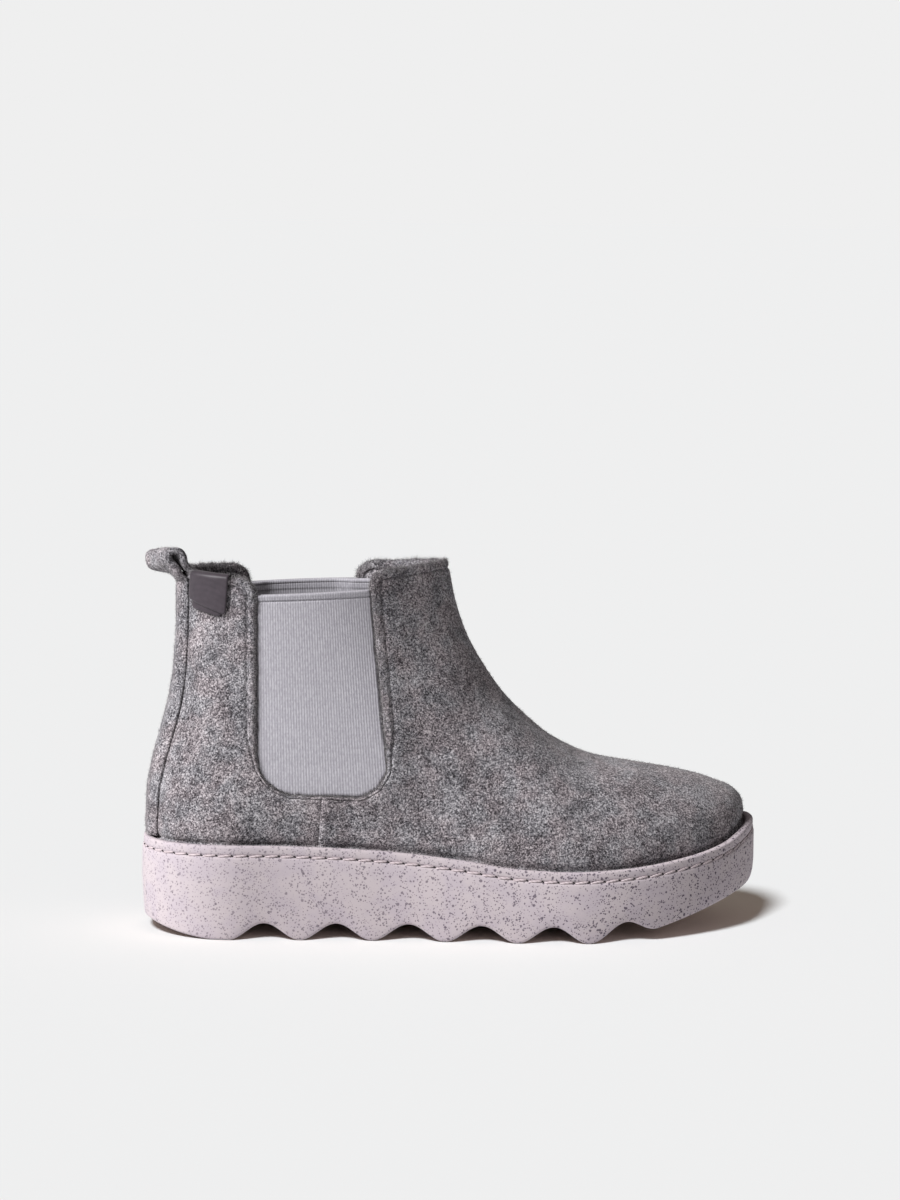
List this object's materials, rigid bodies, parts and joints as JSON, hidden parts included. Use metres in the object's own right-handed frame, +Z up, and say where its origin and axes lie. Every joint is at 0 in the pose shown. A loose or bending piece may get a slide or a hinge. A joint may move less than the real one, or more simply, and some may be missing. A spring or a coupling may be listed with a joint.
{
  "type": "high-top felt slipper",
  "caption": "Ankle-high pull-on felt slipper with elastic side gussets, a heel strip that runs on into a pull loop, and a moulded cup sole with a wave tread.",
  "frame": {"origin": "on the floor, under the middle of the shoe's box, which is the sole's box", "axes": "+X to the toe, +Y to the inner side of the foot, +Z up"},
  "size_m": [0.264, 0.099, 0.1627],
  "materials": {
    "sole_rubber": "matte, pale pink with grey-mauve speckles",
    "insole_felt": "felted wool",
    "wool_felt": "melange grey felted wool with a short nap",
    "woven_elastic": "fine upright ribs",
    "woven_tape": "dense dark weave, bare"
  },
  "bodies": {
    "root": {"sole": "sole_rubber", "insole": "insole_felt", "upper": "wool_felt", "gusset_outer": "woven_elastic", "gusset_inner": "woven_elastic", "heel_strip_and_loop": "wool_felt", "label_tab": "woven_tape"}
  },
  "joints": []
}
